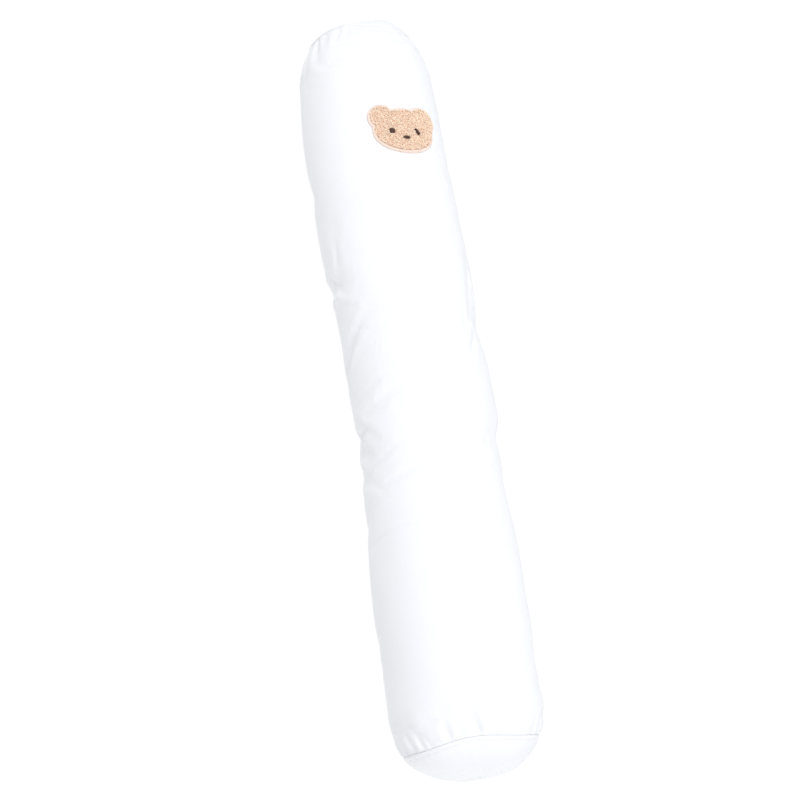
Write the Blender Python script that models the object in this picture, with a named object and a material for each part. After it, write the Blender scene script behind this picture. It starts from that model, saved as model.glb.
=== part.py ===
"""Baby bolster pillow, lying on its back with a bear-head patch on top.

The pillow is a filled cotton tube that a round cotton panel closes at each end. It lies along Y with its foot
end at -Y, on the plane z = 0. On the tube's surface a place is given by `along`, the distance from the foot
seam towards the head, and `around`, the angle from the top towards +X. Lengths are in metres.
"""

import functools
import math
from collections import namedtuple

import bmesh
import bpy
from mathutils import Matrix, Vector

COLLECTION_NAME = "baby_bolster_pillow"

# Driving sizes of the filled pillow. Its weight flattens it from a little above the floor and a thin slice
# more is taken off below, so that it rests on a flat strip. Pieces that touch are parted by the gap.
TUBE_LENGTH = 0.758
CENTRE_HEIGHT = 0.0710
FLOOR_PRESS = 0.0045
FLAT_TRIM = 0.0004
GAP = 0.0003

# Each round end panel: how far it domes out, how flat its middle is, how steep its edge, and how far its
# crown lies to +X of its seam's middle. The seam leans across the pillow and waves in lobes counted from a
# crest, and the tube forgets both within a short reach.
EndPanel = namedtuple("EndPanel", "height flatness steepness crown lean wave")
END_PANELS = {
    "foot": EndPanel(0.0255, 2.7, 0.76, 0.0065, 0.0012, 0.0016),
    "head": EndPanel(0.0215, 2.3, 0.74, 0.0060, -0.0045, -0.0014),
}
SEAM_LOBES = 4
SEAM_CREST = -27
SEAM_REACH = 0.018
PUCKER_RISE = 0.005

# The end panel stands up square at its edge. A share of the tube's gathering runs on into it and fades within
# a reach. It is ringed at these shares of its radius in from the seam.
PANEL_EDGE = 0.0012
PANEL_PUCKER_SHARE = 0.35
PANEL_PUCKER_REACH = 0.014
PANEL_RINGS = (0.00, 0.025, 0.07, 0.13, 0.23, 0.36, 0.52, 0.73)

# How finely the cloth is faceted: round the tube in degrees and steps, finer over the side that shows, round
# the patch and round its face's features. The slope under the patch is read over a short length either way,
# and facets that meet at more than the sharp angle show an edge.
UPPER_START = -123
UPPER_END = 75
UPPER_STEPS = 66
UNDER_STEPS = 30
PATCH_STEPS = 64
FEATURE_STEPS = 20
SLOPE_STEP = 0.002
SHARP_ANGLE = 50

# A row for each section of the tube: its radius, and how far its centre lies to +X.
Section = namedtuple("Section", "along radius shift")
SECTIONS = (
    Section(0.000, 0.0665, -0.0008),
    Section(0.010, 0.0722, -0.0006),
    Section(0.020, 0.0750, -0.0005),
    Section(0.035, 0.0770, -0.0005),
    Section(0.052, 0.0760, -0.0010),
    Section(0.080, 0.0750, -0.0005),
    Section(0.110, 0.0760, 0.0005),
    Section(0.150, 0.0770, 0.0010),
    Section(0.190, 0.0755, 0.0015),
    Section(0.235, 0.0725, 0.0025),
    Section(0.262, 0.0715, 0.0030),
    Section(0.300, 0.0700, 0.0045),
    Section(0.330, 0.0715, 0.0055),
    Section(0.375, 0.0725, 0.0050),
    Section(0.430, 0.0710, 0.0030),
    Section(0.470, 0.0725, 0.0025),
    Section(0.500, 0.0740, 0.0005),
    Section(0.540, 0.0745, -0.0020),
    Section(0.590, 0.0735, -0.0035),
    Section(0.640, 0.0735, -0.0050),
    Section(0.680, 0.0720, -0.0045),
    Section(0.700, 0.0705, -0.0040),
    Section(0.715, 0.0695, -0.0040),
    Section(0.726, 0.0680, -0.0045),
    Section(0.736, 0.0655, -0.0040),
    Section(0.747, 0.0612, -0.0032),
    Section(0.758, 0.0555, -0.0022),
)

# A row for each stretch of the tube that is ringed at one spacing, from the foot seam to the head seam.
Stretch = namedtuple("Stretch", "end rings")
STRETCHES = (
    Stretch(0.003, 1),
    Stretch(0.015, 3),
    Stretch(0.050, 5),
    Stretch(0.270, 8),
    Stretch(0.510, 15),
    Stretch(0.700, 7),
    Stretch(0.743, 5),
    Stretch(0.755, 3),
    Stretch(0.758, 1),
)

# A row for each fold that the gathering at a seam draws into the tube, in degrees round it and in metres.
Pucker = namedtuple("Pucker", "around width reach depth")
FOOT_PUCKERS = (
    Pucker(-118, 4.5, 0.028, 0.0032),
    Pucker(-106, 4.0, 0.026, 0.0034),
    Pucker(-94, 3.8, 0.024, 0.0034),
    Pucker(-83, 3.6, 0.023, 0.0034),
    Pucker(-72, 3.6, 0.022, 0.0030),
    Pucker(-64, 3.4, 0.017, 0.0018),
    Pucker(-45, 4.2, 0.031, 0.0027),
    Pucker(-35, 3.6, 0.022, 0.0018),
    Pucker(-22, 4.0, 0.029, 0.0050),
    Pucker(4, 4.5, 0.016, 0.0010),
    Pucker(18, 4.5, 0.016, 0.0010),
    Pucker(36, 4.5, 0.030, 0.0024),
    Pucker(48, 4.5, 0.034, 0.0030),
    Pucker(60, 4.5, 0.030, 0.0026),
)
HEAD_PUCKERS = (
    Pucker(-108, 5.0, 0.040, 0.0024),
    Pucker(-92, 5.0, 0.060, 0.0026),
    Pucker(-76, 4.4, 0.032, 0.0040),
    Pucker(-65, 3.8, 0.022, 0.0024),
    Pucker(-49, 4.2, 0.026, 0.0034),
    Pucker(-38, 4.0, 0.022, 0.0033),
    Pucker(-28, 3.6, 0.020, 0.0024),
    Pucker(-12, 4.5, 0.018, 0.0014),
    Pucker(6, 4.5, 0.020, 0.0016),
    Pucker(24, 4.5, 0.022, 0.0016),
    Pucker(43, 4.5, 0.026, 0.0020),
    Pucker(60, 4.8, 0.028, 0.0022),
)

# Round the underside the gathering goes on at an even pitch, from which each fold sways in place and depth.
HIDDEN_PUCKERS = 8
HIDDEN_PITCH = 20.5
HIDDEN_FIRST = Pucker(80, 7.0, 0.027, 0.0024)
HIDDEN_SWAY = 3.5
HIDDEN_DEPTH_SWAY = 0.0008
HIDDEN_SWAY_TURN = 2.3

# A row for each main crease of the tube. A crease is a soft trough: its middle, half length and half width,
# its depth (below zero it is a swelling), and its turn from the pillow's length towards +around.
Crease = namedtuple("Crease", "along around length width depth turn")
CREASES = (
    Crease(0.487, -105, 0.026, 0.0085, 0.0052, -85),
    Crease(0.473, -98, 0.024, 0.0070, -0.0014, -80),
    Crease(0.515, -80, 0.026, 0.0060, 0.0012, 6),
    Crease(0.412, -92, 0.032, 0.0075, 0.0050, 55),
    Crease(0.421, -80, 0.030, 0.0055, -0.0018, 55),
    Crease(0.316, -107, 0.024, 0.0095, 0.0050, -48),
    Crease(0.334, -84, 0.022, 0.0060, -0.0014, -48),
    Crease(0.282, -104, 0.022, 0.0080, 0.0022, -60),
    Crease(0.236, -108, 0.024, 0.0100, 0.0016, 70),
    Crease(0.452, 42, 0.060, 0.0120, 0.0020, 8),
    Crease(0.424, 60, 0.030, 0.0120, 0.0042, -20),
    Crease(0.336, 62, 0.028, 0.0160, -0.0020, 20),
    Crease(0.306, 66, 0.018, 0.0140, 0.0024, 80),
    Crease(0.244, 64, 0.026, 0.0120, 0.0036, -12),
    Crease(0.142, 58, 0.030, 0.0140, 0.0018, 12),
    Crease(0.560, -70, 0.040, 0.0140, 0.0012, 84),
    Crease(0.350, 140, 0.045, 0.0140, 0.0030, 70),
    Crease(0.470, 128, 0.040, 0.0140, 0.0026, -60),
    Crease(0.220, 134, 0.040, 0.0140, 0.0022, 50),
    Crease(0.600, -132, 0.040, 0.0140, 0.0020, -70),
)

# The patch: where its middle lies, and the bear head as plain ellipses in its own flat axes, x round the tube
# and y towards the pillow's head.
PATCH_ALONG = 0.6277
Ellipse = namedtuple("Ellipse", "x y half_width half_height turn", defaults=(0,))
HEAD_OUTLINE = Ellipse(0.0000, 0.0000, 0.0328, 0.0221)
EAR_OUTLINES = (
    Ellipse(-0.0243, 0.0160, 0.0112, 0.0106),
    Ellipse(0.0230, 0.0136, 0.0132, 0.0118),
)
OUTLINE_SOFTNESS = 0.0022

# Rings of the patch's pieces, from the middle of the underside over the edge to the middle of the top. A ring
# lies at a share of the outline, which has first been grown, and is lifted off the tube.
Ring = namedtuple("Ring", "share grown lift")
BACKING_RINGS = (
    Ring(0.25, 0.0000, 0.0004),
    Ring(0.50, 0.0000, 0.0004),
    Ring(0.75, 0.0000, 0.0004),
    Ring(1.00, 0.0000, 0.0004),
    Ring(1.00, 0.0026, 0.0003),
    Ring(1.00, 0.0026, 0.0009),
    Ring(1.00, 0.0020, 0.0020),
    Ring(1.00, 0.0006, 0.0020),
    Ring(1.00, 0.0000, 0.0012),
    Ring(0.75, 0.0000, 0.0012),
    Ring(0.50, 0.0000, 0.0012),
    Ring(0.25, 0.0000, 0.0012),
)
PILE_RINGS = (
    Ring(0.25, -0.0003, 0.0015),
    Ring(0.50, -0.0003, 0.0015),
    Ring(0.75, -0.0003, 0.0015),
    Ring(1.00, -0.0003, 0.0015),
    Ring(1.00, -0.0003, 0.0022),
    Ring(0.96, -0.0003, 0.0028),
    Ring(0.75, -0.0003, 0.0032),
    Ring(0.50, -0.0003, 0.0033),
    Ring(0.25, -0.0003, 0.0033),
)
FEATURE_RINGS = (
    Ring(0.94, 0.0000, 0.0036),
    Ring(1.00, 0.0000, 0.0039),
    Ring(0.82, 0.0000, 0.0042),
    Ring(0.45, 0.0000, 0.0044),
)

# The stitched face, each feature a low mound on the pile. The right eye is turned.
FEATURES = {
    "patch_eye_left": Ellipse(-0.0158, -0.0012, 0.0029, 0.0027),
    "patch_eye_right": Ellipse(0.0118, -0.0013, 0.0037, 0.0021, -46),
    "patch_nose": Ellipse(-0.0014, -0.0086, 0.0039, 0.0016),
}

# Colour as seen, and roughness, of each cloth.
Cloth = namedtuple("Cloth", "colour roughness")
CLOTHS = {
    "white_cotton": Cloth((0.930, 0.938, 0.955), 0.85),
    "patch_edging": Cloth((0.965, 0.850, 0.765), 0.70),
    "tan_pile": Cloth((0.905, 0.655, 0.480), 0.95),
    "brown_thread": Cloth((0.085, 0.040, 0.028), 0.55),
}


def clear_scene():
    """Removes whatever the file opened with."""
    for obj in list(bpy.data.objects):
        bpy.data.objects.remove(obj, do_unlink=True)


def make_materials():
    """One Principled material for each cloth."""
    made = {}
    for name, cloth in CLOTHS.items():
        material = bpy.data.materials.new(name)
        material.use_nodes = True
        shader = material.node_tree.nodes["Principled BSDF"]
        shader.inputs["Base Color"].default_value = (*cloth.colour, 1.0)
        shader.inputs["Roughness"].default_value = cloth.roughness
        shader.inputs["Metallic"].default_value = 0.0
        made[name] = material
    return made


def section_value(along, column):
    """A column of SECTIONS at any place along the tube, on one smooth curve through the rows."""
    last = len(SECTIONS) - 1
    after = next((i for i in range(1, last) if SECTIONS[i].along >= along), last)
    rows = [SECTIONS[max(0, min(last, after + step))] for step in (-2, -1, 0, 1)]
    before, start, end, beyond = rows
    span = end.along - start.along
    share = (along - start.along) / span

    def slope(left, right):
        return (getattr(right, column) - getattr(left, column)) / (right.along - left.along) * span

    rise, fall = slope(before, end), slope(start, beyond)
    low, high = getattr(start, column), getattr(end, column)
    return (
        low * (2 * share**3 - 3 * share**2 + 1)
        + rise * (share**3 - 2 * share**2 + share)
        + high * (3 * share**2 - 2 * share**3)
        + fall * (share**3 - share**2)
    )


def turn_between(first, second):
    """The smallest turn from the second angle to the first, in degrees."""
    return (first - second + 180) % 360 - 180


def puckers_of(end):
    """The folds drawn in at one end's seam, the shown ones and those of the underside."""
    folds = list(FOOT_PUCKERS if end == "foot" else HEAD_PUCKERS)
    for n in range(HIDDEN_PUCKERS):
        sway = math.sin(n * HIDDEN_SWAY_TURN)
        around = HIDDEN_FIRST.around + n * HIDDEN_PITCH + sway * HIDDEN_SWAY
        depth = HIDDEN_FIRST.depth + sway * HIDDEN_DEPTH_SWAY
        folds.append(HIDDEN_FIRST._replace(around=around, depth=depth))
    return folds


PUCKERS = {end: puckers_of(end) for end in ("foot", "head")}


def pucker_profile(end, around):
    """Each fold of one end with the share of its depth that reaches this place round the tube."""
    for fold in PUCKERS[end]:
        aside = turn_between(math.degrees(around), fold.around) / fold.width
        yield fold, math.exp(-aside * aside)


def tube_puckers(along, around):
    """How deep the gathering pulls the tube in. It starts at nothing on the seam, opens within a few
    millimetres and then fades."""
    depth = 0.0
    for end, distance in (("foot", along), ("head", TUBE_LENGTH - along)):
        opening = 1 - math.exp(-distance / PUCKER_RISE)
        for fold, share in pucker_profile(end, around):
            depth += fold.depth * share * opening * math.exp(-((distance / fold.reach) ** 2))
    return depth


def crease_depth(along, around):
    """How deep the creases are here, with distances measured on the unrolled tube."""
    depth = 0.0
    radius = section_value(along, "radius")
    for crease in CREASES:
        forward = along - crease.along
        aside = math.radians(turn_between(math.degrees(around), crease.around)) * radius
        turn = math.radians(crease.turn)
        lengthwise = forward * math.cos(turn) + aside * math.sin(turn)
        across = aside * math.cos(turn) - forward * math.sin(turn)
        spread = (lengthwise / crease.length) ** 2 + (across / crease.width) ** 2
        depth += crease.depth * math.exp(-spread)
    return depth


def seam_offset(end, around):
    """How far a seam lies towards the head of its own plane."""
    panel = END_PANELS[end]
    lobes = math.cos(SEAM_LOBES * (around - math.radians(SEAM_CREST)))
    return panel.lean * math.sin(around - math.radians(SEAM_CREST)) + panel.wave * lobes


def settled(point):
    """A point of the pillow once its weight has flattened its underside on the floor."""
    height = point.z
    if height < FLOOR_PRESS:
        height = (max(height, -FLOOR_PRESS) + FLOOR_PRESS) ** 2 / (4 * FLOOR_PRESS)
    return Vector((point.x, point.y, max(0.0, height - FLAT_TRIM)))


def centre_of(along):
    """The centre of a section, on the pillow's centre line."""
    return Vector((section_value(along, "shift"), along - TUBE_LENGTH / 2, CENTRE_HEIGHT))


def tube_point(along, around):
    """A point of the tube's outer surface."""
    radius = section_value(along, "radius") - tube_puckers(along, around) - crease_depth(along, around)
    point = centre_of(along) + radius * Vector((math.sin(around), 0.0, math.cos(around)))
    for end, distance in (("foot", along), ("head", TUBE_LENGTH - along)):
        point.y += seam_offset(end, around) * math.exp(-distance / SEAM_REACH)
    return settled(point)


def tube_angles():
    """Steps once round the tube, finer over the side that shows than beneath."""
    upper, under = UPPER_END - UPPER_START, 360 - (UPPER_END - UPPER_START)
    degrees = [UPPER_START + upper * step / UPPER_STEPS for step in range(UPPER_STEPS)]
    degrees += [UPPER_END + under * step / UNDER_STEPS for step in range(UNDER_STEPS)]
    return [math.radians(angle) for angle in degrees]


def loft(name, rings, start, finish, material, parent):
    """A closed solid through rings of equally many points, closed at each end by a fan round one point."""
    bm = bmesh.new()
    loops = [[bm.verts.new(point) for point in ring] for ring in rings]
    count = len(loops[0])
    for here, there in zip(loops, loops[1:]):
        for i in range(count):
            j = (i + 1) % count
            bm.faces.new((here[i], here[j], there[j], there[i]))
    first, last = bm.verts.new(start), bm.verts.new(finish)
    for i in range(count):
        j = (i + 1) % count
        bm.faces.new((first, loops[0][j], loops[0][i]))
        bm.faces.new((last, loops[-1][i], loops[-1][j]))
    bmesh.ops.recalc_face_normals(bm, faces=bm.faces)
    mesh = bpy.data.meshes.new(name)
    bm.to_mesh(mesh)
    bm.free()
    mesh.shade_smooth()
    mesh.set_sharp_from_angle(angle=math.radians(SHARP_ANGLE))
    mesh.materials.append(material)
    obj = bpy.data.objects.new(name, mesh)
    obj.parent = parent
    bpy.data.collections[COLLECTION_NAME].objects.link(obj)
    return obj


def ring_stations():
    """Where the tube's rings lie, from the foot seam to the head seam."""
    stations = [0.0]
    for stretch in STRETCHES:
        start = stations[-1]
        for ring in range(1, stretch.rings + 1):
            stations.append(start + (stretch.end - start) * ring / stretch.rings)
    return stations


def build_tube(material, parent):
    """The filled tube, from seam to seam. Its end faces follow the seams."""
    rings = [[tube_point(along, around) for around in tube_angles()] for along in ring_stations()]
    start, finish = settled(centre_of(0.0)), settled(centre_of(TUBE_LENGTH))
    return loft("tube_panel", rings, start, finish, material, parent)


def panel_pucker(end, around, inward):
    """How deep the seam's folds dent the round panel, at a distance in from its edge."""
    opening = 1 - math.exp(-inward / PUCKER_RISE)
    fading = math.exp(-((inward / PANEL_PUCKER_REACH) ** 2))
    depth = sum(fold.depth * share for fold, share in pucker_profile(end, around))
    return PANEL_PUCKER_SHARE * depth * opening * fading


def build_end_panel(end, material, parent):
    """The round panel that closes one end, domed out by the filling."""
    panel = END_PANELS[end]
    outward = -1 if end == "foot" else 1
    seam_along = 0.0 if end == "foot" else TUBE_LENGTH
    seam_radius = section_value(seam_along, "radius")
    centre = centre_of(seam_along)

    def dome(inward):
        return PANEL_EDGE + panel.height * (1 - (1 - inward) ** panel.flatness) ** panel.steepness

    def point(around, inward, rise):
        lift = GAP + max(rise - panel_pucker(end, around, inward * seam_radius), 0.0)
        reach = (1 - inward) * seam_radius * Vector((math.sin(around), 0.0, math.cos(around)))
        along = outward * lift + (1 - inward) * seam_offset(end, around)
        return settled(centre + reach + Vector((inward * panel.crown, along, 0.0)))

    rings = [[point(around, 0.0, 0.0) for around in tube_angles()]]
    rings += [[point(around, inward, dome(inward)) for around in tube_angles()] for inward in PANEL_RINGS]
    inner = settled(centre + Vector((0.0, outward * GAP, 0.0)))
    crown = point(0.0, 1.0, dome(1.0))
    return loft(f"end_panel_{end}", rings, inner, crown, material, parent)


def ray_exit(ellipse, angle, grown):
    """How far a ray from the patch's middle runs before it leaves a grown ellipse, nothing if it misses."""
    wide, tall = ellipse.half_width + grown, ellipse.half_height + grown
    right, up = math.cos(angle) / wide, math.sin(angle) / tall
    off_x, off_y = ellipse.x / wide, ellipse.y / tall
    square = right * right + up * up
    middle = (right * off_x + up * off_y) / square
    inside = middle * middle - (off_x * off_x + off_y * off_y - 1) / square
    return middle + math.sqrt(inside) if inside > 0 else 0.0


def bear_place(angle, ring):
    """A place on a ring of the bear head, whose parts' outlines run together softly."""
    exits = [ray_exit(shape, angle, ring.grown) for shape in (HEAD_OUTLINE, *EAR_OUTLINES)]
    reach = OUTLINE_SOFTNESS * math.log(sum(math.exp(leaves / OUTLINE_SOFTNESS) for leaves in exits))
    return ring.share * reach * math.cos(angle), ring.share * reach * math.sin(angle)


def feature_place(shape, angle, ring):
    """A place on a ring of one of the face's features."""
    across = ring.share * (shape.half_width + ring.grown)
    tall = ring.share * (shape.half_height + ring.grown)
    spoke = Vector((across * math.cos(angle), tall * math.sin(angle)))
    spoke.rotate(Matrix.Rotation(math.radians(shape.turn), 2))
    return shape.x + spoke.x, shape.y + spoke.y


def on_tube(x, y, lift):
    """A point of the patch's flat axes, laid on the tube and lifted off it along its normal."""
    radius = section_value(PATCH_ALONG, "radius")
    along, around = PATCH_ALONG + y, x / radius
    turn = SLOPE_STEP / radius
    lengthwise = tube_point(along + SLOPE_STEP, around) - tube_point(along - SLOPE_STEP, around)
    sideways = tube_point(along, around + turn) - tube_point(along, around - turn)
    return tube_point(along, around) + sideways.cross(lengthwise).normalized() * lift


def loft_on_tube(name, place, middle, ring_rows, steps, material, parent):
    """A solid on the tube through rings that `place` lays out, closed above and below at the middle."""
    rings = []
    for ring in ring_rows:
        places = [place(math.tau * step / steps, ring) for step in range(steps)]
        rings.append([on_tube(x, y, ring.lift) for x, y in places])
    under, over = (on_tube(*middle, ring.lift) for ring in (ring_rows[0], ring_rows[-1]))
    return loft(name, rings, under, over, material, parent)


def build_patch(cloths, parent):
    """The bear head: a backing with a rolled edge, a pile set in it and the stitched face on the pile."""
    for name, cloth, ring_rows in (
        ("patch_backing", "patch_edging", BACKING_RINGS),
        ("patch_pile", "tan_pile", PILE_RINGS),
    ):
        middle = (HEAD_OUTLINE.x, HEAD_OUTLINE.y)
        loft_on_tube(name, bear_place, middle, ring_rows, PATCH_STEPS, cloths[cloth], parent)
    for name, shape in FEATURES.items():
        place = functools.partial(feature_place, shape)
        middle = (shape.x, shape.y)
        loft_on_tube(name, place, middle, FEATURE_RINGS, FEATURE_STEPS, cloths["brown_thread"], parent)


def centre_over_origin(root):
    """Moves the pillow so that the middle of its length and width lies over the origin."""
    bpy.context.view_layer.update()
    points = [piece.matrix_world @ vertex.co for piece in root.children for vertex in piece.data.vertices]
    for axis in (0, 1):
        values = [point[axis] for point in points]
        root.location[axis] = -(min(values) + max(values)) / 2


def main():
    """Builds the pillow's pieces under one empty."""
    clear_scene()
    collection = bpy.data.collections.new(COLLECTION_NAME)
    bpy.context.scene.collection.children.link(collection)
    root = bpy.data.objects.new("pillow_root", None)
    collection.objects.link(root)
    cloths = make_materials()
    build_tube(cloths["white_cotton"], root)
    for end in ("foot", "head"):
        build_end_panel(end, cloths["white_cotton"], root)
    build_patch(cloths, root)
    centre_over_origin(root)


if __name__ == "__main__":
    main()
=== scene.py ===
"""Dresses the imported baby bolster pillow: a filled cotton tube with gathered, topstitched end panels and a
curly bear-head patch, lying on a pale floor in soft studio light.

Lengths are in metres. On the tube a place is given by `along`, the distance from the foot seam towards the
head, and `around`, the angle from the top towards +X.
"""

import logging
import math
from dataclasses import dataclass, field
from enum import Enum

import bmesh
import bpy
import numpy as np
from mathutils import Matrix, Vector, noise


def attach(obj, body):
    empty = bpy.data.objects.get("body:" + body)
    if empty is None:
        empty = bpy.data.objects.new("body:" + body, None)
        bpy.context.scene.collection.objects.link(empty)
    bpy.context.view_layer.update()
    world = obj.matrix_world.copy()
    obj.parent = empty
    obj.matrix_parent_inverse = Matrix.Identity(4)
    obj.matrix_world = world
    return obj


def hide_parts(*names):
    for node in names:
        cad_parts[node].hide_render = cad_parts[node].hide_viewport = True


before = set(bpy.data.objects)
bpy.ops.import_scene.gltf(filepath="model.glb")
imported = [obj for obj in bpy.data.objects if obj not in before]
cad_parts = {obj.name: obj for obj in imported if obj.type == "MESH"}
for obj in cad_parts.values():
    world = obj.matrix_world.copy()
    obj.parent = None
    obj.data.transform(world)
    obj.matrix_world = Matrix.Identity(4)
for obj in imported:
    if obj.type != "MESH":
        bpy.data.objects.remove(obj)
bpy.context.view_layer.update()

LOG = logging.getLogger("bolster")
BODY = "root"
SEED = 20
PATCH_ALONG = 0.6277  # Where the patch's middle lies.


class Slot(Enum):
    """The record's material slots."""

    WHITE_COTTON = "white_cotton"
    PATCH_EDGING = "patch_edging"
    TAN_PILE = "tan_pile"
    BROWN_THREAD = "brown_thread"


class End(Enum):
    """The two ends of the tube."""

    FOOT = "foot"
    HEAD = "head"


# Finishes


class Nodes:
    """A material's node graph, with short ways to add and join nodes."""

    def __init__(self, name: str) -> None:
        """Starts a material.

        Args:
            name: The material's name.
        """
        self.material = bpy.data.materials.new(name)
        self.material.use_nodes = True
        self.tree = self.material.node_tree
        self.shader = self.tree.nodes["Principled BSDF"]

    def add(self, kind: str, **values: object) -> bpy.types.Node:
        """Adds a node.

        Args:
            kind: The node's type name.
            **values: Properties of the node, or inputs by their name with underscores for spaces.

        Returns:
            The node.
        """
        node = self.tree.nodes.new(kind)
        for key, value in values.items():
            if hasattr(node, key):
                setattr(node, key, value)
            else:
                node.inputs[key.replace("_", " ")].default_value = value
        return node

    def join(self, source: bpy.types.NodeSocket, target: bpy.types.NodeSocket) -> None:
        """Links an output to an input."""
        self.tree.links.new(source, target)

    def surface(self, **values: float | tuple) -> None:
        """Sets the shader's own inputs, by their name with underscores for spaces."""
        for key, value in values.items():
            self.shader.inputs[key.replace("_", " ")].default_value = value

    def noise(self, place: bpy.types.NodeSocket, size: float, **values: float) -> bpy.types.NodeSocket:
        """Adds soft noise.

        Args:
            place: The coordinates' socket.
            size: How wide its largest lumps are, in metres.
            **values: The noise's other inputs.

        Returns:
            The value's socket.
        """
        node = self.add("ShaderNodeTexNoise", Scale=1 / size, **values)
        self.join(place, node.inputs["Vector"])
        return node.outputs["Fac"]

    def tint(self, share: bpy.types.NodeSocket, shade: tuple, colour: tuple) -> None:
        """Colours the shader.

        Args:
            share: How much of the colour shows in place of the shade.
            shade: The darker tone.
            colour: The full tone.
        """
        mix = self.add("ShaderNodeMix", data_type="RGBA")
        self.join(share, mix.inputs[0])
        mix.inputs[6].default_value, mix.inputs[7].default_value = (*shade, 1.0), (*colour, 1.0)
        self.join(mix.outputs[2], self.shader.inputs["Base Color"])

    def bump(self, height: bpy.types.NodeSocket, distance: float, strength: float,
             under: bpy.types.NodeSocket | None = None) -> bpy.types.NodeSocket:
        """Adds a bump.

        Args:
            height: The height's socket.
            distance: How high the relief is, in metres.
            strength: The bump's strength.
            under: The normal of a bump that this one lies on.

        Returns:
            The normal's socket.
        """
        node = self.add("ShaderNodeBump", Distance=distance, Strength=strength)
        self.join(height, node.inputs["Height"])
        if under is not None:
            self.join(under, node.inputs["Normal"])
        return node.outputs["Normal"]


@dataclass(frozen=True)
class CottonFinish:
    """Plain woven cotton: over and under threads, a little slub and the crumple of a washed cloth."""

    name: str = "white_cotton"
    colour: tuple[float, float, float] = (0.930, 0.938, 0.955)
    shade: tuple[float, float, float] = (0.905, 0.915, 0.940)
    roughness: float = 0.85
    sheen: float = 0.04
    thread_pitch: float = 0.00062
    thread_relief: float = 0.00006
    slub_size: float = 0.004
    crumple_size: float = 0.011
    crumple_relief: float = 0.00030

    def material(self) -> bpy.types.Material:
        """Builds the material from the cloth's own flat coordinates.

        Returns:
            The material.
        """
        nodes = Nodes(self.name)
        place = nodes.add("ShaderNodeUVMap", uv_map="cloth").outputs["UV"]
        weave = nodes.add("ShaderNodeMath", operation="MULTIPLY")
        for direction, socket in zip("XY", weave.inputs):
            wave = nodes.add("ShaderNodeTexWave", bands_direction=direction, wave_profile="SIN",
                             Scale=math.pi / 10 / self.thread_pitch, Distortion=1.2, Detail=1.0,
                             Detail_Scale=0.6)
            nodes.join(place, wave.inputs["Vector"])
            nodes.join(wave.outputs["Fac"], socket)
        nodes.tint(nodes.noise(place, self.slub_size, Detail=3.0, Roughness=0.6), self.shade, self.colour)
        crumple = nodes.noise(place, self.crumple_size, Detail=4.0, Roughness=0.55, Distortion=0.6)
        soft = nodes.bump(crumple, self.crumple_relief, 0.5)
        relief = nodes.bump(weave.outputs[0], self.thread_relief, 0.5, soft)
        nodes.join(relief, nodes.shader.inputs["Normal"])
        nodes.surface(Roughness=self.roughness, Sheen_Weight=self.sheen, Sheen_Roughness=0.5,
                      Specular_IOR_Level=0.25)
        return nodes.material


@dataclass(frozen=True)
class ThreadFinish:
    """Spun embroidery or sewing thread, with fine twist lines and a low gloss."""

    name: str
    colour: tuple[float, float, float]
    shade: tuple[float, float, float]
    roughness: float = 0.55
    sheen: float = 0.2
    twist_size: float = 0.0004
    twist_relief: float = 0.00005

    def material(self) -> bpy.types.Material:
        """Builds the material; each thread's own tone comes from the attribute `tone`.

        Returns:
            The material.
        """
        nodes = Nodes(self.name)
        tone = nodes.add("ShaderNodeAttribute", attribute_name="tone").outputs["Fac"]
        nodes.tint(tone, self.shade, self.colour)
        place = nodes.add("ShaderNodeTexCoord").outputs["Object"]
        twist = nodes.noise(place, self.twist_size, Detail=2.0, Roughness=0.6)
        nodes.join(nodes.bump(twist, self.twist_relief, 0.6), nodes.shader.inputs["Normal"])
        nodes.surface(Roughness=self.roughness, Sheen_Weight=self.sheen, Sheen_Roughness=0.5,
                      Specular_IOR_Level=0.3)
        return nodes.material


WHITE_COTTON = CottonFinish()
WHITE_THREAD = ThreadFinish("white_thread", (0.94, 0.945, 0.96), (0.88, 0.89, 0.92))
EDGING_THREAD = ThreadFinish("patch_edging", (0.975, 0.830, 0.745), (0.930, 0.720, 0.610))
# The pile's shade tone gives the curls their random tones and also sets the ground under them, which is
# painted darker still as shade in the gaps.
TAN_PILE = ThreadFinish("tan_pile", (1.000, 0.820, 0.640), (0.780, 0.500, 0.360), 0.95, 0.40, 0.0008)
BROWN_THREAD = ThreadFinish("brown_thread", (0.115, 0.058, 0.042), (0.050, 0.024, 0.018), 0.5, 0.1)


# Mesh helpers


def rings_solid(rings: np.ndarray, start: np.ndarray, finish: np.ndarray) -> tuple[np.ndarray, list]:
    """Closes rings of points into a solid, with a fan round one point at each end.

    Args:
        rings: Points, rows by columns by 3.
        start: The point that closes the first ring.
        finish: The point that closes the last ring.

    Returns:
        The vertices and the faces.
    """
    rows, columns = rings.shape[:2]
    index = np.arange(rows * columns).reshape(rows, columns)
    after = np.roll(index, -1, axis=1)
    quads = np.stack((index[:-1], after[:-1], after[1:], index[1:]), axis=-1).reshape(-1, 4)
    first, last = rows * columns, rows * columns + 1
    fans = [(first, int(b), int(a)) for a, b in zip(index[0], after[0])]
    fans += [(last, int(a), int(b)) for a, b in zip(index[-1], after[-1])]
    return np.vstack((rings.reshape(-1, 3), start[None], finish[None])), quads.tolist() + fans


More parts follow.
